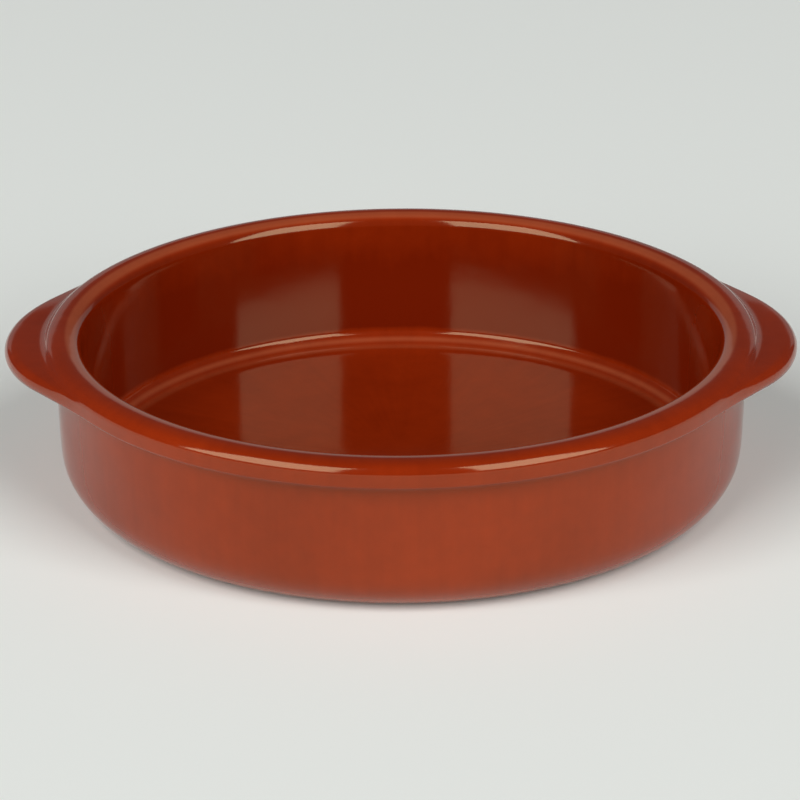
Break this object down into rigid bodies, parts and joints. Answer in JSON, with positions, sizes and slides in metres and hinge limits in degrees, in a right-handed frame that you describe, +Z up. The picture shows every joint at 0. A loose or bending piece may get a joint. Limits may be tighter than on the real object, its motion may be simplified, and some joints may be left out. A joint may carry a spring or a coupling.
{
  "type": "cazuela",
  "caption": "Low round earthenware dish with a flat floor, upright wall, collared rounded rim and a broad lug on each side, for cooking and serving.",
  "frame": {"origin": "middle of the flat base, on the surface that the dish stands on", "axes": "+Z up along the axis of the round body, +X out through one lug, +Y across the lugs"},
  "size_m": [0.3124, 0.28, 0.063],
  "materials": {
    "glazed_clay": "glossy clear glaze over red-brown earthenware"
  },
  "bodies": {
    "root": {"cazuela": "glazed_clay"}
  },
  "joints": []
}
